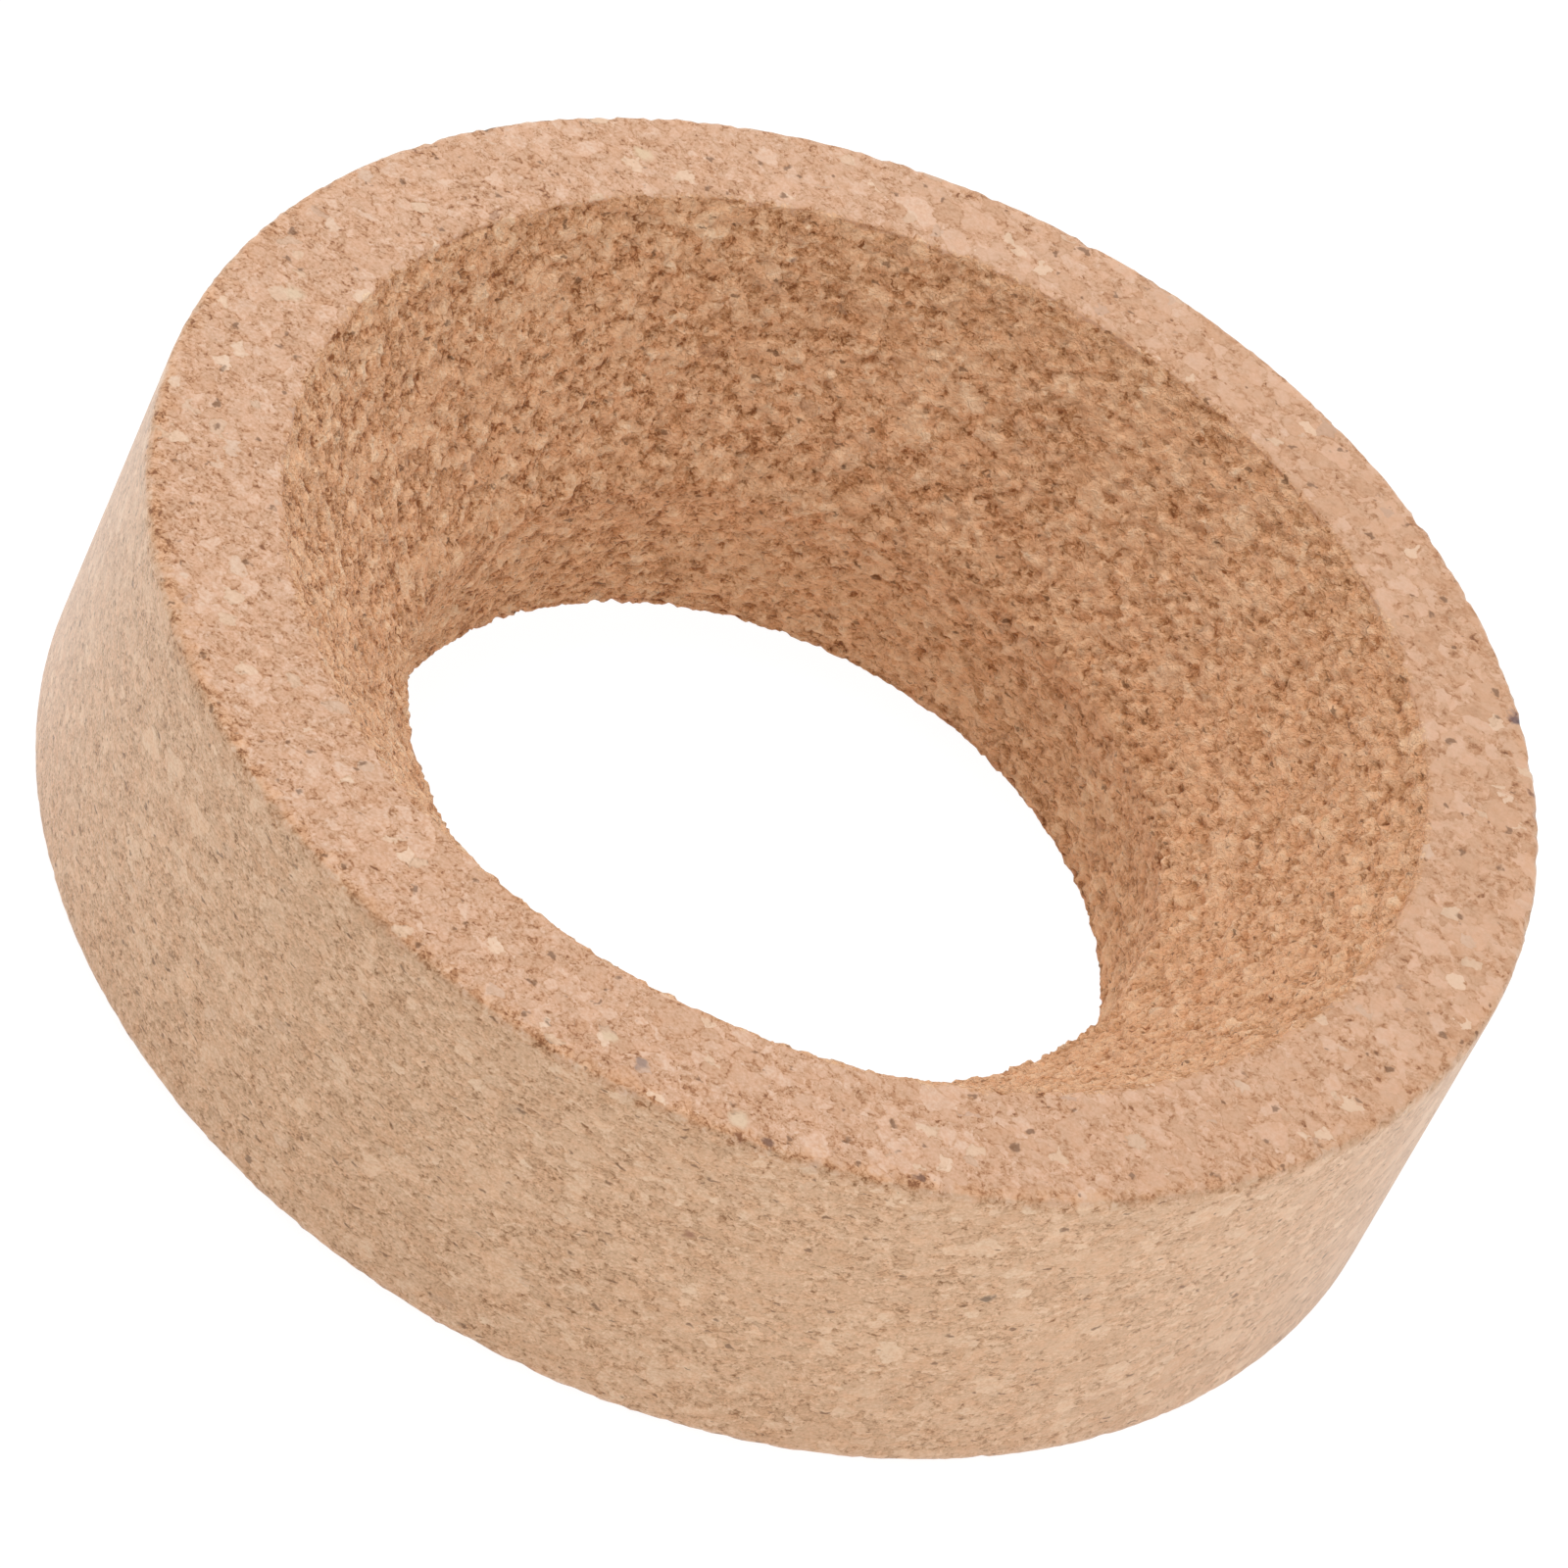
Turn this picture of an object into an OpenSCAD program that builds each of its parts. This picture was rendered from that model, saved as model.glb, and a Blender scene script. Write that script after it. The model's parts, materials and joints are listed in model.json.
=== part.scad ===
// Cork ring: a stand for round-bottomed flasks, turned from one block of pressed cork.
// A plain outer wall and a flat rim stand round a conical seat, which runs down
// into a straight bore. The origin is the centre of the base, with +Z up.

/* [Ring] */
// Outer diameter of the ring
ring_d = 110; // [90:1:200]
// Height of the ring
ring_h = 30; // [22:0.5:60]
// Width of the flat rim around the seat
rim_w = 9.75; // [4:0.25:18]

/* [Hole] */
// Diameter of the straight bore
bore_d = 60; // [20:0.5:80]
// Height at which the bore opens into the seat
bore_h = 13; // [6:0.5:24]
// How far the hole was bored off the ring's centre, towards +Y
hole_shift = 1.2; // [0:0.1:3]

/* [Edges] */
// Radius of the outer edge of the rim
rim_edge_r = 0.6; // [0.2:0.1:3]
// Radius of the outer edge of the base
base_edge_r = 1.2; // [0.2:0.1:3]
// Radius of the seat's mouth, where it meets the rim
mouth_edge_r = 0.4; // [0.2:0.1:3]
// Radius of the throat, where the seat meets the bore
throat_r = 1.5; // [0.5:0.5:8]
// Radius of the bore's lower edge
bore_edge_r = 0.4; // [0.2:0.1:2]

/* [Hidden] */
$fn = 180;

ring_r = ring_d / 2;
bore_r = bore_d / 2;
// Radius of the seat's mouth
seat_r = ring_r - rim_w;
// Slope of the seat, measured up from the horizontal
seat_slope = atan2(ring_h - bore_h, seat_r - bore_r);
// How far the cutter of the hole runs past the rim and the base
past = 1;
// How much larger than the waste of a rounded edge its cutter is
over = 1.5;
// How far a rounding stands proud of its two faces, so that it crosses them cleanly
hair = 0.001;

// What rounding to a radius takes off a sharp edge of the section. The edge's two
// faces leave it in the directions face_a and face_b. It is a kite, drawn from the
// centre of the rounding through the points where the round starts and ends, and out
// past the edge, less the round itself.
module edge_waste(edge, face_a, face_b, radius) {
    half = (face_b - face_a) / 2;
    mid = (face_a + face_b) / 2;
    centre = edge + radius / sin(half) * [cos(mid), sin(mid)];
    translate(centre)
    difference() {
        polygon([
            [0, 0],
            over * radius * [sin(face_a), -cos(face_a)],
            over * (edge - centre),
            over * radius * [-sin(face_b), cos(face_b)]
        ]);
        circle(radius + hair);
    }
}

// Half section of the block, with its two outer edges rounded
module block_section() {
    difference() {
        square([ring_r, ring_h]);
        edge_waste([ring_r, ring_h], 180, 270, rim_edge_r);
        edge_waste([ring_r, 0], 90, 180, base_edge_r);
    }
}

// Half section of the hole: the bore, the seat, and the rounding of their edges
module hole_section() {
    polygon([
        [0, -past],
        [bore_r, -past],
        [bore_r, bore_h],
        [seat_r, ring_h],
        [seat_r, ring_h + past],
        [0, ring_h + past]
    ]);
    edge_waste([seat_r, ring_h], -180 + seat_slope, 0, mouth_edge_r);
    edge_waste([bore_r, bore_h], -90, seat_slope, throat_r);
    edge_waste([bore_r, 0], 0, 90, bore_edge_r);
}

module cork_ring() {
    color("#c9a27c")
    difference() {
        rotate_extrude() block_section();
        translate([0, hole_shift, 0]) rotate_extrude() hole_section();
    }
}

cork_ring();
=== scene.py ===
import json
import math
from functools import partial
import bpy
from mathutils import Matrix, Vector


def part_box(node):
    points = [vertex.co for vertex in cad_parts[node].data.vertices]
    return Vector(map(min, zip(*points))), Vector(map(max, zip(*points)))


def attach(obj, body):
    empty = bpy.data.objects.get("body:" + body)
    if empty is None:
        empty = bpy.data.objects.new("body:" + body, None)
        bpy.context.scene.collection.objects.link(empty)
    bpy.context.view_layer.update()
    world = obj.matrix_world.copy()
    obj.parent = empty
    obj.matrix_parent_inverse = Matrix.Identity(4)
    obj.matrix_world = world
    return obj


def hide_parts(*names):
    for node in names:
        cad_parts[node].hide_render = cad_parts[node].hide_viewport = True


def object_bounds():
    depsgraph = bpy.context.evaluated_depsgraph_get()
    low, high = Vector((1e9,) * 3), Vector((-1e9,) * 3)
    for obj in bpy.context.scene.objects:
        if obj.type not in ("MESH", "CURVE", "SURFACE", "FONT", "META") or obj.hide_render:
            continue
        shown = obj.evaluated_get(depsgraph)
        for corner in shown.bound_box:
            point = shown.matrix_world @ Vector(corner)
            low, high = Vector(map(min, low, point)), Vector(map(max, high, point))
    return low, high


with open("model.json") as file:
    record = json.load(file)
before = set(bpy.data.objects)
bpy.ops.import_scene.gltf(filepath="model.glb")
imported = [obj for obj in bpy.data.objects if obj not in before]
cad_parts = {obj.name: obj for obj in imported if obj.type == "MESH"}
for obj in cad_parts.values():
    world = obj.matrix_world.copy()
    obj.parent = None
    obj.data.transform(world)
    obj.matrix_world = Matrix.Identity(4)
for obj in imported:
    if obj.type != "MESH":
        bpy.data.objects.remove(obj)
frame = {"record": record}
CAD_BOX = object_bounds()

from types import SimpleNamespace

import bmesh
import bpy
from bpy.props import FloatProperty, FloatVectorProperty, IntProperty, PointerProperty
from mathutils import Matrix, Quaternion, Vector, noise

bl_info = {
    "name": "Cork flask ring",
    "version": (1, 0, 0),
    "blender": (4, 5, 0),
    "location": "3D View > Sidebar > Cork ring",
    "description": "Turns a pressed cork ring for round-bottomed flasks and sets it on a pale floor",
    "category": "Add Mesh",
}

MM = 0.001  # metres in a millimetre
NODE = "cork_ring"
BOX_LOW, BOX_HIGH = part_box(NODE)
BORE = next(mount for mount in frame["record"]["mounts"] if mount["name"] == "bore")
BORE_R = BORE["dims"]["r_mm"] * MM
HOLE_SHIFT = BORE["pos_m"][1]

# --- the turned section, in mm
ROUNDINGS = 1.2, 0.6, 0.4, 1.5, 0.3  # of the base, the rim, the mouth, the throat and the lower lip
ROUNDING_STEPS = 4
SPREAD = 0.35  # how fast the points outside the hole spread out with their distance from a corner
MOUTH_BAND = 0.5  # how far to each side of its edge the mouth is smoothed
TORN_FROM = -0.45  # where the torn hole's material starts, before the edge

# --- the torn skin, in mm
TORN_GRANULE = 0.85
LOST_SHARE = 0.14  # of the granules, those that the cutter pulled out
PROUDEST = 0.25
MOUTH_RAGGED, LIP_RAGGED = 0.8, 1.6
SKIN_SEED = 5  # without a seed, noise_vector bends the granules by the clock, differently on each run

# --- the cork
FLATNESS = 1.45  # width of a granule over its height
BEND, NIBBLE, FRAY = 1.6, 0.16, 0.5  # in mm, how far borders wander: coarsely, finely, and in crumbs
GRANULE_SHARE, CHIP_SHARE, ODD_SHARE = 0.16, 0.4, 0.03  # of the cells, those that hold such a piece
ROUGHEST, SMOOTHEST = 1.3, 0.4  # how rough the tools left one side of the ring and the other

# Amounts on the ground rim, on the pressed wall and in the torn hole
DARK_LINES = 0.9, 0.6, 0.3
DULLNESS = 0.75, 0.15, 0.0
SOLID_GRANULES = 0.85, 0.55, 0.9
FINE_CELLS = 0.9, 1.05, 0.75
FRESH_CORK = 0.06, 0.16, 0.28
ODD_GRANULES = 0.32, 0.12, 0.12
WALL_CONTRAST = 1.22

# Single marks on the cork: angle from +X in degrees, radius, height and width in mm, and colour
OUTER_MARKS = (
    (40.0, 54.4, 29.9, 1.7, "54404A"),  # nick in the rim's outer edge
    (31.8, 54.4, 30.0, 0.9, "7A4A30"),  # crack beside it
    (290.3, 53.0, 30.0, 1.6, "E6CBAD"),  # pale granule
    (293.0, 54.3, 30.0, 1.0, "6B4638"),  # torn out granules: dark with painted shade in the hollows they left
    (290.7, 54.7, 29.8, 0.8, "8A5738"),
    (304.8, 53.8, 30.0, 0.9, "6E4A3A"),
    (281.8, 51.8, 30.0, 1.1, "9C8276"),  # grey granule
    (278.8, 50.9, 30.0, 1.2, "E4C8A8"),  # pale granules
    (140.3, 50.6, 30.0, 1.6, "E6CAA8"),
    (184.8, 49.5, 30.0, 1.7, "E6CCAE"),
    (314.5, 55.0, 19.5, 1.2, "6A5340"),  # bark flecks in the wall
    (290.8, 55.0, 19.6, 1.0, "9A6A50"),
)
HOLE_MARKS = (
    (125.0, 43.1, 27.6, 1.5, "6B5058"),  # violet bark fleck
    (89.3, 42.1, 26.4, 1.2, "9A6E58"),
    (30.3, 39.6, 23.7, 1.5, "EFC89C"),  # pale granule
    (89.0, 31.3, 14.5, 1.3, "8A5A44"),
    (17.8, 44.8, 29.5, 1.2, "6A412A"),  # pits, dark with painted shade
    (26.8, 33.7, 17.2, 1.1, "6A412A"),
)

# --- the stage, in metres
FLOOR_R, FLOOR_GAP = 6.0, 0.05 * MM
PAPER_GLOW = 0.41  # what the lit paper around the ring adds to the light on it
PLAIN_WHITE = 0.85  # share of plain white in what the eye sees of the paper
SOFTBOX_DISTANCE, SOFTBOX_WIDTH = 1.2, 0.8
# Each softbox's azimuth from -Y towards +X and elevation in degrees, and its share of the light
SOFTBOXES = {
    "right softbox": (85, 25, 0.08),
    "left softbox": (-127, 55, 0.41),
}
AIM = Vector((0.5, -1.7, 0.0)) * MM  # from the box's middle to the point that the camera looks at

# Sockets of a Mix node: its two colours and their blend, then its two plain values
COLOUR_A, COLOUR_B, BLEND = 6, 7, 2
VALUE_A, VALUE_B = 2, 3


def linear(hex_colour):
    """An sRGB hex colour as linear red, green and blue."""
    parts = [int(hex_colour[i : i + 2], 16) / 255 for i in (0, 2, 4)]
    return [c / 12.92 if c <= 0.04045 else ((c + 0.055) / 1.055) ** 2.4 for c in parts]


def smooth_step(low, high, value):
    """0 at low, 1 at high and beyond, and a smooth change between them."""
    share = min(max((value - low) / (high - low), 0.0), 1.0)
    return share * share * (3 - 2 * share)


def length(name, description, default):
    """A size that a user can change, in metres."""
    return FloatProperty(name=name, description=description, default=default, min=0, unit="LENGTH")


def turn(name, description, degrees):
    """An angle that a user can change."""
    return FloatProperty(name=name, description=description, default=math.radians(degrees), subtype="ANGLE")


def colour(name, description, hex_colour):
    """A colour that a user can change, given as sRGB hex."""
    return FloatVectorProperty(name=name, description=description, subtype="COLOR", size=3, min=0, max=1,
                               default=linear(hex_colour))


class CorkRingSettings(bpy.types.PropertyGroup):
    """The turned sizes of the ring, and the sizes and colours of the cork granules in it."""

    ring_r: length("Ring radius", "Radius of the outer wall", BOX_HIGH.x)
    ring_h: length("Ring height", "Height of the ring", BOX_HIGH.z)
    rim_w: length("Rim width", "Width of the flat rim around the seat", 9.75 * MM)
    bore_r: length("Bore radius", "Radius of the straight bore", BORE_R)
    bore_h: length("Bore height", "Height at which the bore opens into the seat", 13 * MM)
    hole_shift: length("Hole shift", "How far the hole lies off the ring's centre", HOLE_SHIFT)
    steps: IntProperty(name="Steps", description="Number of steps around the ring", default=600, min=48)
    fine: length("Fine spacing", "Spacing of the section's points in the torn hole", 0.36 * MM)
    granule: length("Granule", "Width of the larger granules", 2.2 * MM)
    chip: length("Chip", "Width of the small granules between them", 1.15 * MM)
    crumb: length("Crumb", "Width of the crumbs that fill the gaps", 0.45 * MM)
    fleck: colour("Fleck", "Woody bark flecks", "6E4A2E")


class CorkStageSettings(bpy.types.PropertyGroup):
    """The camera and the light."""

    distance: length("Distance", "Camera's distance from the middle of the ring", 728.5 * MM)
    azimuth: turn("Azimuth", "Camera's turn from -Y towards +X", 11.76)
    elevation: turn("Elevation", "Camera's height above the horizon", 41.71)
    roll: turn("Roll", "Camera's turn about its line of sight", 26.63)
    lens: FloatProperty(name="Lens", description="Focal length on a 36 mm sensor", default=222.13,
                        unit="CAMERA")
    sky: FloatProperty(name="Sky", description="Share of the light that comes from all round", default=0.57)


def add_node(tree, kind, inputs=None, stops=None, **settings):
    """Add one node with its settings, and fill or link its inputs. Returns its outputs."""
    made = tree.nodes.new(kind)
    for name, value in settings.items():
        setattr(made, name, value)
    for socket, value in (inputs or {}).items():
        if isinstance(value, bpy.types.NodeSocket):
            tree.links.new(value, made.inputs[socket])
        else:
            made.inputs[socket].default_value = value
    for position, hex_colour in stops or ():
        if position > 0:
            stop = made.color_ramp.elements.new(position)
        else:
            stop = made.color_ramp.elements[0]
            made.color_ramp.elements.remove(made.color_ramp.elements[1])
        stop.color = (*linear(hex_colour), 1)
    return made.outputs


def clear_nodes(owner):
    """Empty the node tree of a material or a world. Returns the function that adds nodes to it."""
    owner.use_nodes = True
    owner.node_tree.nodes.clear()
    return partial(add_node, owner.node_tree)


# ---------------------------------------------------------------- the turned and torn block


def side(point, corner, inner, outer):
    """Signed distance of a point from a corner: positive on inner's side, negative on outer's."""
    away = point - corner
    toward_inner = away.dot((inner - corner).normalized()) - away.dot((outer - corner).normalized())
    return math.copysign(away.length, toward_inner)


def ring_section(bm, s):
    """One closed wire in the XZ plane, with rounded corners.

    Each point stores how far it lies past the hole's nearest edge and past the wall's.
    """
    seat_r = s.ring_r - s.rim_w
    base, rim, mouth, throat, lip = corners = [
        Vector((s.ring_r, 0, 0)),
        Vector((s.ring_r, 0, s.ring_h)),
        Vector((seat_r, 0, s.ring_h)),
        Vector((s.bore_r, 0, s.bore_h)),
        Vector((s.bore_r, 0, 0)),
    ]
    verts = [bm.verts.new(corner) for corner in corners]
    bm.faces.new(verts)
    for i, (vert, radius) in enumerate(zip(verts, ROUNDINGS)):
        to_last, to_next = corners[i - 1] - corners[i], corners[(i + 1) % len(corners)] - corners[i]
        tangent = radius * MM / math.tan(to_last.angle(to_next) / 2)
        bmesh.ops.bevel(bm, geom=[vert], offset=tangent, offset_type="OFFSET", segments=ROUNDING_STEPS,
                        profile=0.5, affect="VERTICES", material=-1)
    bmesh.ops.delete(bm, geom=bm.faces[:], context="FACES_ONLY")

    def middle(edge):
        return (edge.verts[0].co + edge.verts[1].co) / 2

    def in_hole(edge):
        return middle(edge).x < seat_r and middle(edge).z > 0

    for edge in [edge for edge in bm.edges if in_hole(edge)]:
        cuts = math.ceil(edge.calc_length() / s.fine) - 1
        if cuts > 0:
            bmesh.ops.subdivide_edges(bm, edges=[edge], cuts=cuts)

    def too_long(edge):
        reach = min((middle(edge) - corner).length for corner in corners)
        return not in_hole(edge) and edge.calc_length() > s.fine + SPREAD * reach

    while long_edges := [edge for edge in bm.edges if too_long(edge)]:
        bmesh.ops.subdivide_edges(bm, edges=long_edges, cuts=1)

    into_hole = bm.verts.layers.float.new("into_hole_mm")
    down_wall = bm.verts.layers.float.new("down_wall_mm")
    for vert in bm.verts:
        hole_edges = side(vert.co, mouth, throat, rim), side(vert.co, lip, throat, base)
        wall_edges = side(vert.co, rim, base, mouth), side(vert.co, base, rim, lip)
        vert[into_hole] = min(hole_edges) / MM
        vert[down_wall] = min(wall_edges) / MM


def shift_hole(bm, s):
    """Slide the hole off the ring's centre. The rim and the base stretch to follow."""
    seat_r = s.ring_r - s.rim_w
    for vert in bm.verts:
        inner = seat_r if vert.co.z > s.ring_h / 2 else s.bore_r
        radius = math.hypot(vert.co.x, vert.co.y)
        vert.co.y += s.hole_shift * min(max((s.ring_r - radius) / (s.ring_r - inner), 0), 1)


def torn_height(place, torn, edge):
    """Height of the cork over the turned surface, in mm, at a place in mm.

    Where it is torn, granules stand proud or lie low, some are lost, and gaps open between them.
    Where it isn't, it is almost smooth. Edges are worn back, and chipped in places.
    """
    grain = Vector((place.x, place.y, place.z * 1.3))
    bent = grain + 0.4 * noise.noise_vector(grain * 0.9)
    distances, centres = noise.voronoi(bent / TORN_GRANULE)
    luck = noise.cell(centres[0] * 53.7)
    crumbs = noise.noise(grain * 1.7) + 0.6 * noise.noise(grain * 3.1)
    lost = smooth_step(0.6, 0.25, distances[0]) if luck < LOST_SHARE else 0.0
    gaps = smooth_step(0.3, 0.75, distances[0] - 0.3 * crumbs)
    hollow = max(lost, 0.7 * gaps)
    height = torn * (0.14 * (luck - 0.5) + 0.12 * crumbs - 0.22 * hollow)
    height += (1 - torn) * 0.02 * crumbs
    chips = max(noise.noise(grain * 0.75 + Vector((7.1, 0, 0))) - 0.18, 0)
    height -= edge * (0.04 + 0.12 * crumbs + 0.65 * chips)
    return min(height, PROUDEST)


def roughen(bm, s):
    """Move the skin along its normals: a torn hole, chipped edges, and an almost smooth rim and wall.

    The hole's lower lip is the most ragged, and its mouth is smoothed again, as it lies in plain view.
    """
    into_hole = bm.verts.layers.float["into_hole_mm"]
    down_wall = bm.verts.layers.float["down_wall_mm"]
    height = bm.verts.layers.float.new("height_mm")
    bm.normal_update()
    noise.seed_set(SKIN_SEED)
    moves = []
    for vert in bm.verts:
        place = vert.co / MM
        ragged = noise.noise(place * 1.3) + noise.noise(place * 2.9)
        torn = smooth_step(-0.3, 0.3, vert[into_hole] + 0.3 * ragged)
        edge = 1 - smooth_step(0.3, 1.1, abs(vert[down_wall]))
        hole_edge = 1 - smooth_step(0.2, 0.7, abs(vert[into_hole]))
        raggedness = MOUTH_RAGGED if vert.co.z > s.ring_h / 2 else LIP_RAGGED
        vert[height] = torn_height(place, torn, max(edge, raggedness * hole_edge))
        moves.append(vert.normal * (vert[height] * MM))
    for vert, move in zip(bm.verts, moves):
        vert.co += move
    mouth = [vert for vert in bm.verts if abs(vert[into_hole]) < MOUTH_BAND and vert.co.z > s.ring_h / 2]
    bmesh.ops.smooth_vert(bm, verts=mouth, factor=0.5, use_axis_x=True, use_axis_y=True, use_axis_z=True)
    for vert in bm.verts:
        vert.co.z = max(vert.co.z, 0)


def cork_ring_mesh(s):
    """The whole ring: its section spun about the upright axis, its hole shifted, its skin roughened."""
    bm = bmesh.new()
    ring_section(bm, s)
    bmesh.ops.spin(bm, geom=bm.verts[:] + bm.edges[:], cent=(0, 0, 0), axis=(0, 0, 1), dvec=(0, 0, 0),
                   angle=2 * math.pi, steps=s.steps, use_merge=True, use_duplicate=False)
    bmesh.ops.remove_doubles(bm, verts=bm.verts[:], dist=0.01 * MM)
    bmesh.ops.recalc_face_normals(bm, faces=bm.faces[:])
    shift_hole(bm, s)
    roughen(bm, s)
    into_hole = bm.verts.layers.float["into_hole_mm"]
    for face in bm.faces:
        face.material_index = int(max(vert[into_hole] for vert in face.verts) > TORN_FROM)
    mesh = bpy.data.meshes.new("pressed_cork_ring")
    bm.to_mesh(mesh)
    bm.free()
    mesh.shade_smooth()
    return mesh


# ---------------------------------------------------------------- the cork


def cork_space(add):
    """A point's place, and spaces in mm around it in which the borders of granules wander.

    The height is stretched, as the press left the granules flatter than they are wide.
    """
    here = add("ShaderNodeTexCoord")["Object"]
    grain = add("ShaderNodeMapping", {"Vector": here, "Scale": (1 / MM, 1 / MM, FLATNESS / MM)})[0]
    bend = add("ShaderNodeTexNoise",
               {"Vector": grain, "Scale": 0.8, "Detail": 2.0, "Roughness": 0.6})["Color"]
    fray = add("ShaderNodeTexNoise",
               {"Vector": grain, "Scale": 3.6, "Detail": 1.0, "Roughness": 0.7})["Color"]

    def wander(start, noise_colour, reach):
        return add("ShaderNodeVectorMath", {0: noise_colour, 1: (reach, reach, reach), 2: start},
                   operation="MULTIPLY_ADD")[0]

    bent = wander(grain, bend, BEND)
    return SimpleNamespace(
        here=here,
        bent=bent,
        frayed=wander(bent, fray, FRAY),
        nibbled=wander(bent, fray, NIBBLE),
        sway=add("ShaderNodeSeparateColor", {"Color": bend}),
        cells=add("ShaderNodeSeparateColor", {"Color": fray}),
    )


def granule_fields(add, space, s):
    """Chance values for each granule, where the solid ones show, and how far in from its border a point is.

    Granules of three sizes overlap: the largest show where chance keeps them, smaller chips fill
    what they leave, and crumbs fill the rest. The crumbs lie in a more frayed space than the others.
    """
    found, inside = {}, {}
    for name, size in (("granule", s.granule), ("chip", s.chip), ("crumb", s.crumb)):
        around = {"Vector": space.frayed if name == "crumb" else space.nibbled, "Scale": MM / size}
        cells = add("ShaderNodeTexVoronoi", around)
        found[name] = add("ShaderNodeSeparateColor", {"Color": cells["Color"]})
        if name != "crumb":
            border = add("ShaderNodeTexVoronoi", around, feature="DISTANCE_TO_EDGE")["Distance"]
            inside[name] = add("ShaderNodeMath", {0: border, 1: size / MM}, operation="MULTIPLY")[0]
    keep_granule = add("ShaderNodeMath", {0: found["granule"][0], 1: GRANULE_SHARE},
                       operation="LESS_THAN")[0]
    keep_chip = add("ShaderNodeMath", {0: found["chip"][0], 1: CHIP_SHARE}, operation="LESS_THAN")[0]

    def chance(channel):
        small = add("ShaderNodeMix", {
            0: keep_chip, VALUE_A: found["crumb"][channel], VALUE_B: found["chip"][channel]})[0]
        return add("ShaderNodeMix", {
            0: keep_granule, VALUE_A: small, VALUE_B: found["granule"][channel]})[0]

    return SimpleNamespace(
        solid=add("ShaderNodeMath", {0: keep_granule, 1: keep_chip}, operation="MAXIMUM")[0],
        chip=found["chip"][0],
        inside=add("ShaderNodeMix", {
            0: keep_granule, VALUE_A: inside["chip"], VALUE_B: inside["granule"]})[0],
        tone=chance(1),
        hue=chance(2),
    )


def kinds_of_cut(add, space):
    """How much a point belongs to the wall, to the torn hole and to the rim's crumbled outer edge.

    Also how rough the tools left it, which differs from one side of the ring to the other.
    """
    into_hole = add("ShaderNodeAttribute", attribute_name="into_hole_mm")["Fac"]
    past_mouth = add("ShaderNodeMath", {0: space.cells[0], 1: 1.2, 2: into_hole},
                     operation="MULTIPLY_ADD")[0]
    past_mouth = add("ShaderNodeMath", {0: space.sway[0], 1: 2.4, 2: past_mouth},
                     operation="MULTIPLY_ADD")[0]
    torn = add("ShaderNodeMapRange", {0: past_mouth, 1: 1.6, 2: 2.0}, interpolation_type="SMOOTHSTEP")[0]

    down_wall = add("ShaderNodeAttribute", attribute_name="down_wall_mm")["Fac"]
    past_edge = add("ShaderNodeMath", {0: space.sway[1], 1: 2.0, 2: down_wall},
                    operation="MULTIPLY_ADD")[0]
    wall = add("ShaderNodeMapRange", {0: past_edge, 1: 0.4, 2: 2.0}, interpolation_type="SMOOTHSTEP")[0]

    # the crumbled edge is a torn, browner band, broadest where it was knocked most
    off_edge = add("ShaderNodeMath", {0: down_wall, 1: 0.4}, operation="ADD")[0]
    off_edge = add("ShaderNodeMath", {0: off_edge}, operation="ABSOLUTE")[0]
    off_edge = add("ShaderNodeMath", {0: space.sway[2], 1: 4.0, 2: off_edge}, operation="MULTIPLY_ADD")[0]
    crumbled = add("ShaderNodeMapRange", {0: off_edge, 1: 1.7, 2: 3.0, 3: 0.6, 4: 0.0})[0]
    along = add("ShaderNodeVectorMath", {0: space.here, 1: (0.2, 1.0, 0.0)},
                operation="DOT_PRODUCT")["Value"]
    knocked = add("ShaderNodeMapRange", {0: along, 1: -40 * MM, 2: 0.0, 3: 1.0, 4: 0.3})[0]
    crumbled = add("ShaderNodeMath", {0: crumbled, 1: knocked}, operation="MULTIPLY")[0]

    across = add("ShaderNodeVectorMath", {0: space.here, 1: (1.0, 0.7, 0.0)},
                 operation="DOT_PRODUCT")["Value"]
    return SimpleNamespace(
        torn=torn,
        wall=wall,
        crumbled=crumbled,
        torn_or_crumbled=add("ShaderNodeMath", {0: torn, 1: crumbled}, operation="MAXIMUM")[0],
        rough=add("ShaderNodeMapRange", {
            0: across, 1: -45 * MM, 2: 65 * MM, 3: ROUGHEST, 4: SMOOTHEST})[0],
    )


def by_cut(add, cut, on_rim, on_wall, in_hole):
    """A number that differs between the ground rim, the pressed wall and the torn hole."""
    outside = add("ShaderNodeMapRange", {0: cut.wall, 3: on_rim, 4: on_wall})[0]
    return add("ShaderNodeMapRange", {0: cut.torn, 3: outside, 4: in_hole})[0]


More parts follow.
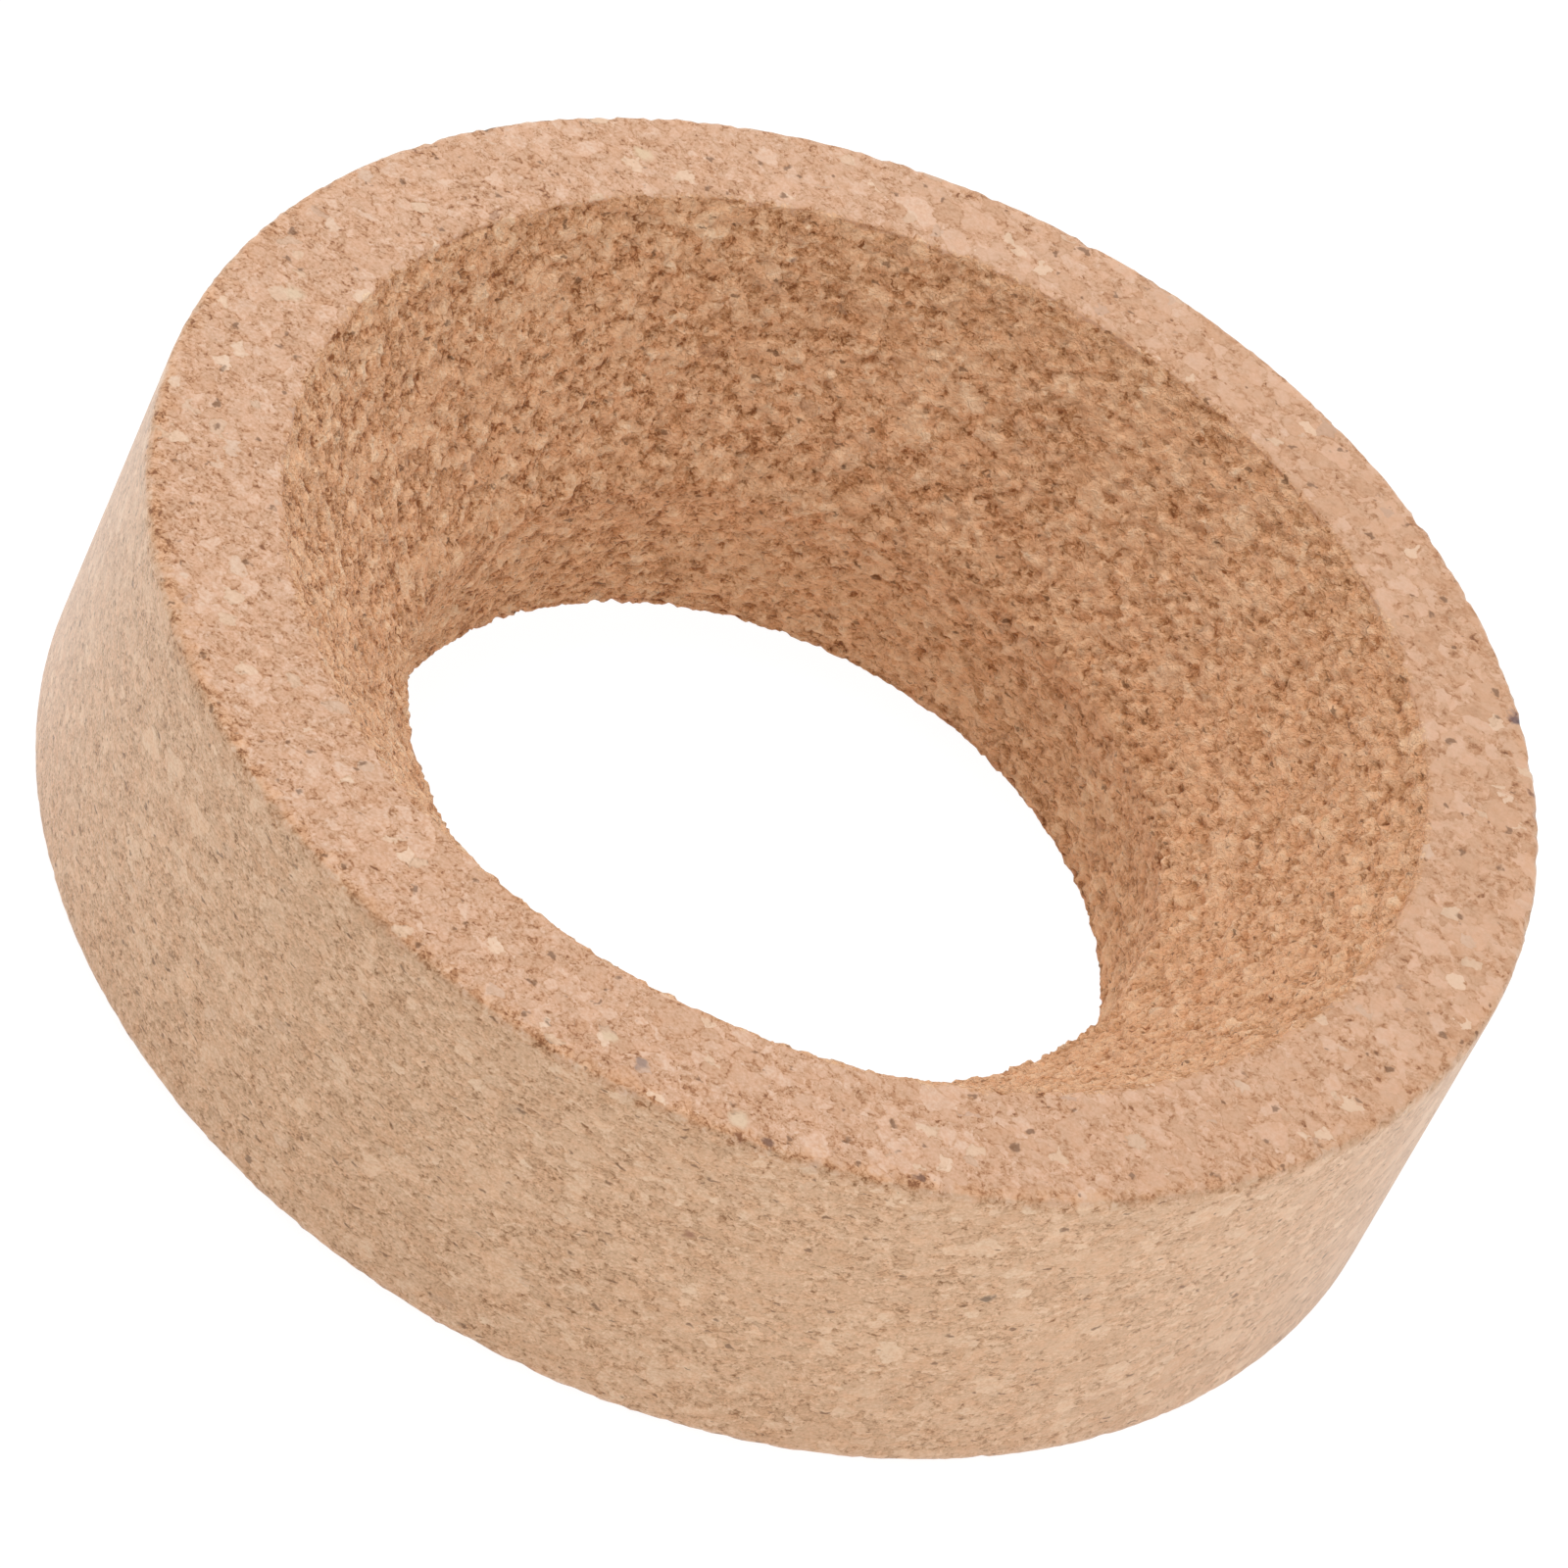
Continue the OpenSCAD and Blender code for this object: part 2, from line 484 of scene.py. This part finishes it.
def cork_shade(add, space, cut, granules, folding):
    """The cork's shade, from 0, dark, to 1, pale: a sum of layers, each about its own middle value."""
    # crumbs are crumpled tissue, which hardly shows on the solid granules
    loose = add("ShaderNodeMath", {0: granules.solid, 1: -0.75, 2: 1.0}, operation="MULTIPLY_ADD")[0]
    crumple = add("ShaderNodeMath", {0: folding, 1: loose}, operation="MULTIPLY")[0]

    # dark threads curl between the granules, and outlines run round them, fainter on the smooth side
    smooth_side = add("ShaderNodeMath", {0: cut.rough, 1: 1.0}, operation="MINIMUM")[0]
    lines = by_cut(add, cut, *DARK_LINES)
    lines = add("ShaderNodeMath", {0: lines, 1: smooth_side}, operation="MULTIPLY")[0]
    curls = add("ShaderNodeTexNoise", {"Vector": space.frayed, "Scale": 0.9, "Detail": 0.0})[0]
    folds = add("ShaderNodeMath", {0: curls, 1: 8.0}, operation="MULTIPLY")[0]
    folds = add("ShaderNodeMath", {0: folds, 1: 0.5}, operation="PINGPONG")[0]
    thread = add("ShaderNodeMapRange", {0: folds, 1: 0.0, 2: 0.22, 3: 1.0, 4: 0.0})[0]
    thread_here = add("ShaderNodeMapRange", {0: space.cells[1], 1: 0.42, 2: 0.62})[0]
    for share in (thread_here, loose, lines):
        thread = add("ShaderNodeMath", {0: thread, 1: share}, operation="MULTIPLY")[0]
    outline = add("ShaderNodeMapRange", {0: granules.inside, 1: 0.03, 2: 0.17, 3: 1.0, 4: 0.0})[0]
    outline_here = add("ShaderNodeMapRange", {0: space.sway[1], 1: 0.4, 2: 0.6, 3: 0.3})[0]
    for share in (granules.solid, outline_here, lines):
        outline = add("ShaderNodeMath", {0: outline, 1: share}, operation="MULTIPLY")[0]
    faint = add("ShaderNodeMath", {0: 1.0, 1: smooth_side}, operation="SUBTRACT")[0]
    faint = add("ShaderNodeMath", {0: faint, 1: by_cut(add, cut, *DULLNESS)}, operation="MULTIPLY")[0]

    # open pores: dark spots, partly the cork's own colour and partly painted shade in them
    pores = add("ShaderNodeTexNoise",
                {"Vector": space.bent, "Scale": 1.7, "Detail": 1.0, "Roughness": 0.5})[0]
    pore_and_shade = add("ShaderNodeMapRange", {0: pores, 1: 0.58, 2: 0.8}, interpolation_type="SMOOTHSTEP")[0]
    pore_here = add("ShaderNodeMath", {0: loose, 1: cut.torn_or_crumbled}, operation="MAXIMUM")[0]
    pore_and_shade = add("ShaderNodeMath", {0: pore_and_shade, 1: pore_here}, operation="MULTIPLY")[0]

    own_tone = add("ShaderNodeMath", {0: granules.tone, 1: 0.5}, operation="SUBTRACT")[0]
    own_tone = add("ShaderNodeMath", {0: own_tone, 1: granules.solid}, operation="MULTIPLY")[0]
    solid = by_cut(add, cut, *SOLID_GRANULES)
    solid = add("ShaderNodeMath", {0: granules.solid, 1: solid}, operation="MULTIPLY")[0]
    # the torn relief's height, for painted shade in its hollows
    height = add("ShaderNodeAttribute", attribute_name="height_mm")["Fac"]
    height = add("ShaderNodeMath", {0: height, 1: cut.torn}, operation="MULTIPLY")[0]
    fine = add("ShaderNodeMath", {0: space.cells[2], 1: 0.5}, operation="SUBTRACT")[0]
    for share in (by_cut(add, cut, *FINE_CELLS), cut.rough):
        fine = add("ShaderNodeMath", {0: fine, 1: share}, operation="MULTIPLY")[0]

    layers = (
        (granules.tone, 0.5, 0.22),  # each granule's own shade
        (own_tone, 0.0, 0.14),  # plainer on the solid granules
        (solid, 0.45, 0.14),  # which are paler than the crumbs
        (outline, 0.1, -0.34),  # and end in a dark line
        (height, -0.07, 0.7),  # painted shade: the torn hole is darker where its relief lies deep, and paler where it stands out
        (space.sway[2], 0.5, 0.34),  # paler and darker patches
        (crumple, 0.0, 1.25),  # crumpled tissue
        (fine, 0.0, 0.7),  # fine cells
        (thread, 0.1, -0.36),  # short dark threads
        (pore_and_shade, 0.1, -0.34),  # open pores: darker cork, and painted shade in them
        (faint, 0.0, -0.24),  # duller where the dark lines are faint
        (cut.crumbled, 0.0, -0.34),  # the crumbled edge is browner
    )
    shade = 0.5 - sum(middle * amount for _, middle, amount in layers)
    for field, _, amount in layers:
        shade = add("ShaderNodeMath", {0: field, 1: amount, 2: shade}, operation="MULTIPLY_ADD")[0]

    rim_contrast = add("ShaderNodeMapRange", {0: cut.rough, 1: SMOOTHEST, 2: 1.0, 3: 0.88, 4: 1.12})[0]
    torn_contrast = add("ShaderNodeMapRange", {0: cut.rough, 1: SMOOTHEST, 2: ROUGHEST, 3: 0.9, 4: 1.24})[0]
    contrast = by_cut(add, cut, rim_contrast, WALL_CONTRAST, torn_contrast)
    shade = add("ShaderNodeMath", {0: shade, 1: 0.5}, operation="SUBTRACT")[0]
    return add("ShaderNodeMath", {0: shade, 1: contrast, 2: 0.5}, operation="MULTIPLY_ADD")[0]


def cork_colour(add, space, cut, granules, shade, s):
    """The cork's colour at each shade, which differs between the kinds of cut and between granules."""
    on_rim = add("ShaderNodeValToRGB", {0: shade}, stops=(
        (0.0, "875737"), (0.25, "B7845E"), (0.5, "D3A684"), (0.75, "E0B597"), (1.0, "EBC7AD")))[0]
    on_wall = add("ShaderNodeValToRGB", {0: shade}, stops=(
        (0.0, "906743"), (0.25, "B58C68"), (0.5, "D1A986"), (0.75, "DEB795"), (1.0, "E9C8A8")))[0]
    in_hole = add("ShaderNodeValToRGB", {0: shade}, stops=(
        (0.0, "945D39"), (0.25, "C58E62"), (0.5, "E9B48A"), (0.75, "F6C79E"), (1.0, "FFD9B4")))[0]
    base = on_rim
    for share, other in ((cut.wall, on_wall), (cut.torn_or_crumbled, in_hole)):
        base = add("ShaderNodeMix", {0: share, COLOUR_A: base, COLOUR_B: other}, data_type="RGBA")[BLEND]

    hue = add("ShaderNodeMath", {0: space.sway[0], 1: 2.1, 2: -0.73}, operation="MULTIPLY_ADD")[0]
    hue = add("ShaderNodeMath", {0: granules.hue, 1: 0.36, 2: hue}, operation="MULTIPLY_ADD")[0]
    tint = add("ShaderNodeValToRGB", {0: hue}, stops=(
        (0.0, "FFFBF6"), (0.3, "FFFCFA"), (0.7, "FDFDFD"), (1.0, "FAFBFC")))[0]
    # fresh cork is redder in patches of a few granules
    fresh = add("ShaderNodeMapRange", {0: hue, 1: 0.5, 2: 0.1, 4: 1.0})[0]
    fresh = add("ShaderNodeMath", {0: fresh, 1: by_cut(add, cut, *FRESH_CORK)}, operation="MULTIPLY")[0]
    # painted shade: the bore, deep in the hole, is a little darker and less red than the seat above it
    level = add("ShaderNodeSeparateXYZ", {"Vector": space.here})[2]
    bore_shade = add("ShaderNodeMapRange", {0: level, 1: s.bore_h + 4 * MM, 2: s.bore_h - 6 * MM, 4: 1.0})[0]
    bore_shade = add("ShaderNodeMath", {0: bore_shade, 1: cut.torn}, operation="MULTIPLY")[0]
    for share, wash in ((1.0, tint), (fresh, (*linear("FFECE2"), 1)), (bore_shade, (*linear("F9FCFA"), 1))):
        base = add("ShaderNodeMix", {0: share, COLOUR_A: base, COLOUR_B: wash}, data_type="RGBA",
                   blend_type="MULTIPLY")[BLEND]

    # a few odd granules are greyish mauve or cream
    odd_colour = add("ShaderNodeValToRGB", {0: granules.chip}, stops=(
        (0.0, "9A7F74"), (0.016, "FFE8CC")))[0]
    odd_here = add("ShaderNodeMapRange", {
        0: granules.chip, 1: ODD_SHARE, 2: ODD_SHARE + 0.002, 3: by_cut(add, cut, *ODD_GRANULES), 4: 0.0})[0]
    return add("ShaderNodeMix", {0: odd_here, COLOUR_A: base, COLOUR_B: odd_colour}, data_type="RGBA")[BLEND]


def add_bark_flecks(add, space, base, s):
    """Dark woody flecks over a colour, flatter than the granules."""
    flakes = add("ShaderNodeMapping", {"Vector": space.nibbled, "Scale": (0.65, 0.65, 1.3)})[0]
    bark = add("ShaderNodeTexVoronoi", {"Vector": flakes, "Scale": 1.0})
    chance = add("ShaderNodeSeparateColor", {"Color": bark["Color"]})[0]
    size = add("ShaderNodeMapRange", {0: chance, 1: 0.65, 2: 1.0, 3: 0.1, 4: 0.32})[0]
    depth = add("ShaderNodeMath", {0: size, 1: bark["Distance"]}, operation="SUBTRACT")[0]
    share = add("ShaderNodeMapRange", {0: depth, 1: 0.0, 2: 0.12, 4: 0.7})[0]
    return add("ShaderNodeMix", {0: share, COLOUR_A: base, COLOUR_B: (*s.fleck, 1)}, data_type="RGBA")[BLEND]


def add_marks(add, space, base, marks):
    """Single marks over a colour, with borders that wander as those of the granules do."""
    for angle, radius, level, width, hex_colour in marks:
        spot = Matrix.Rotation(math.radians(angle), 3, "Z") @ Vector((radius, 0, level * FLATNESS))
        spot += Vector((1, 1, 1)) * (BEND + NIBBLE) / 2
        away = add("ShaderNodeVectorMath", {0: space.nibbled, 1: spot}, operation="DISTANCE")["Value"]
        share = add("ShaderNodeMapRange", {0: away, 1: 0.3 * width, 2: 0.6 * width, 3: 0.8, 4: 0.0})[0]
        base = add("ShaderNodeMix", {0: share, COLOUR_A: base, COLOUR_B: (*linear(hex_colour), 1)},
                   data_type="RGBA")[BLEND]
    return base


def cork_material(name, gloss, sheen, tear, marks, s):
    """Pressed cork granulate: ground smooth outside, torn by the cutter inside.

    Seen close it is a patchwork of pale granules in darker crumbs. The grinding leaves the rim
    pinkish and the pressed side a greyer khaki with flat bark flecks. The torn hole shows fresh
    orange-brown cork with dark hollows and pores, which painted shade darkens further. Gloss is its
    specular level, sheen the dust of loose tissue on it, and tear the depth of its coarse relief in mm.
    """
    material = bpy.data.materials.new(name)
    add = clear_nodes(material)
    space = cork_space(add)
    granules = granule_fields(add, space, s)
    cut = kinds_of_cut(add, space)
    tissue = add("ShaderNodeTexNoise",
                 {"Vector": space.frayed, "Scale": 1.3, "Detail": 2.0, "Roughness": 0.8})[0]
    folding = add("ShaderNodeMath", {0: tissue, 1: 0.5}, operation="SUBTRACT")[0]

    shade = cork_shade(add, space, cut, granules, folding)
    finished = cork_colour(add, space, cut, granules, shade, s)
    finished = add_bark_flecks(add, space, finished, s)
    finished = add_marks(add, space, finished, marks)

    # relief in mm: fine everywhere, and coarser in the torn hole
    relief = add("ShaderNodeMath", {0: space.cells[2], 1: 0.06}, operation="MULTIPLY")[0]
    relief = add("ShaderNodeMath", {0: relief, 1: cut.rough}, operation="MULTIPLY")[0]
    torn_relief = add("ShaderNodeMath", {0: folding, 1: cut.torn}, operation="MULTIPLY")[0]
    relief = add("ShaderNodeMath", {0: torn_relief, 1: tear, 2: relief}, operation="MULTIPLY_ADD")[0]
    bump = add("ShaderNodeBump", {"Height": relief, "Strength": 1.0, "Distance": MM})[0]

    skin = add("ShaderNodeBsdfPrincipled", {
        "Base Color": finished, "Roughness": 0.88, "IOR": 1.45, "Specular IOR Level": gloss, "Normal": bump,
        "Sheen Weight": sheen, "Sheen Roughness": 0.4})
    add("ShaderNodeOutputMaterial", {"Surface": skin[0]})
    return material


class CORKRING_OT_turn_ring(bpy.types.Operator):
    """Turn the pressed cork ring and stand it in for the plain solid"""

    bl_idname = "cork_ring.turn_ring"
    bl_label = "Turn the cork ring"

    def execute(self, context):
        s = context.scene.cork_ring
        ring = bpy.data.objects.new("pressed_cork_ring", cork_ring_mesh(s))
        context.scene.collection.objects.link(ring)
        ring.data.materials.append(cork_material(
            "ground cork granulate", gloss=0.5, sheen=0.45, tear=0.1, marks=OUTER_MARKS, s=s))
        ring.data.materials.append(cork_material(
            "torn cork granulate", gloss=0.1, sheen=0.15, tear=0.45, marks=HOLE_MARKS, s=s))
        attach(ring, "root")
        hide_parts(NODE)
        return {"FINISHED"}


# ---------------------------------------------------------------- the stage


def seen_directly(add):
    """1 for rays that the eye follows, straight, mirrored or through glass, and 0 for light."""
    path = add("ShaderNodeLightPath")
    seen = add("ShaderNodeMath", {0: path["Is Camera Ray"], 1: path["Is Glossy Ray"]},
               operation="MAXIMUM")[0]
    return add("ShaderNodeMath", {0: seen, 1: path["Is Transmission Ray"]}, operation="MAXIMUM")[0]


def floor_material():
    """Matt white paper: part of what the eye sees of it is plain white, so that the shadow stays faint."""
    material = bpy.data.materials.new("matt white paper")
    add = clear_nodes(material)
    bounce = add("ShaderNodeBsdfDiffuse", {"Color": (0.8, 0.8, 0.8, 1)})[0]
    glow = add("ShaderNodeEmission", {"Color": (1, 1, 1, 1), "Strength": PAPER_GLOW})[0]
    paper = add("ShaderNodeAddShader", {0: bounce, 1: glow})[0]
    bright_paper = add("ShaderNodeBsdfDiffuse", {"Color": (1, 1, 1, 1)})[0]
    white = add("ShaderNodeEmission", {"Color": (1, 1, 1, 1), "Strength": 1.1})[0]
    seen_paper = add("ShaderNodeMixShader", {0: PLAIN_WHITE, 1: bright_paper, 2: white})[0]
    floor = add("ShaderNodeMixShader", {0: seen_directly(add), 1: paper, 2: seen_paper})[0]
    add("ShaderNodeOutputMaterial", {"Surface": floor})
    return material


def lay_floor(context):
    """A wide round sheet of paper just under the ring."""
    bm = bmesh.new()
    bmesh.ops.create_circle(bm, cap_ends=True, segments=96, radius=FLOOR_R)
    bmesh.ops.translate(bm, vec=(0, 0, BOX_LOW.z - FLOOR_GAP), verts=bm.verts[:])
    mesh = bpy.data.meshes.new("paper_floor")
    bm.to_mesh(mesh)
    bm.free()
    floor = bpy.data.objects.new("paper_floor", mesh)
    floor.data.materials.append(floor_material())
    context.scene.collection.objects.link(floor)


def light_room(context, s):
    """An even white room: its sky gives most of the light, and shows white."""
    world = bpy.data.worlds.new("white room")
    add = clear_nodes(world)
    lit = add("ShaderNodeBackground", {"Color": (1, 1, 1, 1), "Strength": s.sky})[0]
    white = add("ShaderNodeBackground", {"Color": (1, 1, 1, 1), "Strength": 1.0})[0]
    room = add("ShaderNodeMixShader", {0: seen_directly(add), 1: lit, 2: white})[0]
    add("ShaderNodeOutputWorld", {"Surface": room})
    context.scene.world = world


def outward(azimuth, elevation):
    """The direction from the ring to something that stands at these angles around it."""
    return Vector((
        math.sin(azimuth) * math.cos(elevation),
        -math.cos(azimuth) * math.cos(elevation),
        math.sin(elevation),
    ))


def hang_softbox(context, name, azimuth, elevation, share):
    """A square softbox that gives a share of the light on a level face at the ring."""
    lamp = bpy.data.lights.new(name, "AREA")
    lamp.shape = "SQUARE"
    lamp.size = SOFTBOX_WIDTH
    lamp.energy = share * math.pi**2 * SOFTBOX_DISTANCE**2 / math.sin(elevation)
    out = outward(azimuth, elevation)
    softbox = bpy.data.objects.new(name, lamp)
    softbox.location = out * SOFTBOX_DISTANCE
    softbox.rotation_euler = out.to_track_quat("Z", "Y").to_euler()
    context.scene.collection.objects.link(softbox)


def place_camera(context, s):
    """A long lens that looks down into the ring, rolled about its line of sight."""
    low, high = CAD_BOX
    out = outward(s.azimuth, s.elevation)
    camera = bpy.data.objects.new("camera", bpy.data.cameras.new("camera"))
    camera.location = (low + high) / 2 + AIM + out * s.distance
    aim = out.to_track_quat("Z", "Y") @ Quaternion((0, 0, 1), s.roll)
    camera.rotation_euler = aim.to_euler()
    camera.data.sensor_width = 36
    camera.data.lens = s.lens
    camera.data.clip_start = 0.05
    context.scene.collection.objects.link(camera)
    context.scene.camera = camera


class CORKRING_OT_set_stage(bpy.types.Operator):
    """Lay the floor, light the room and place the camera"""

    bl_idname = "cork_ring.set_stage"
    bl_label = "Set the stage"

    def execute(self, context):
        s = context.scene.cork_stage
        lay_floor(context)
        light_room(context, s)
        for name, (azimuth, elevation, share) in SOFTBOXES.items():
            hang_softbox(context, name, math.radians(azimuth), math.radians(elevation), share)
        place_camera(context, s)
        context.scene.view_settings.view_transform = "Standard"
        return {"FINISHED"}


class CORKRING_PT_panel(bpy.types.Panel):
    """Lists the steps that make the ring and its stage, and their sizes and colours"""

    bl_idname = "CORKRING_PT_panel"
    bl_label = "Cork ring"
    bl_space_type = "VIEW_3D"
    bl_region_type = "UI"
    bl_category = "Cork ring"

    def draw(self, context):
        for operator, group in (
            (CORKRING_OT_turn_ring, context.scene.cork_ring),
            (CORKRING_OT_set_stage, context.scene.cork_stage),
        ):
            box = self.layout.box()
            box.operator(operator.bl_idname)
            for name in group.bl_rna.properties.keys():
                if name not in {"rna_type", "name"}:
                    box.prop(group, name)


CLASSES = (
    CorkRingSettings,
    CorkStageSettings,
    CORKRING_OT_turn_ring,
    CORKRING_OT_set_stage,
    CORKRING_PT_panel,
)


def register():
    for cls in CLASSES:
        bpy.utils.register_class(cls)
    bpy.types.Scene.cork_ring = PointerProperty(type=CorkRingSettings)
    bpy.types.Scene.cork_stage = PointerProperty(type=CorkStageSettings)


def unregister():
    del bpy.types.Scene.cork_stage
    del bpy.types.Scene.cork_ring
    for cls in reversed(CLASSES):
        bpy.utils.unregister_class(cls)


def main():
    register()
    bpy.ops.cork_ring.turn_ring()
    bpy.ops.cork_ring.set_stage()


if __name__ == "__main__":
    main()
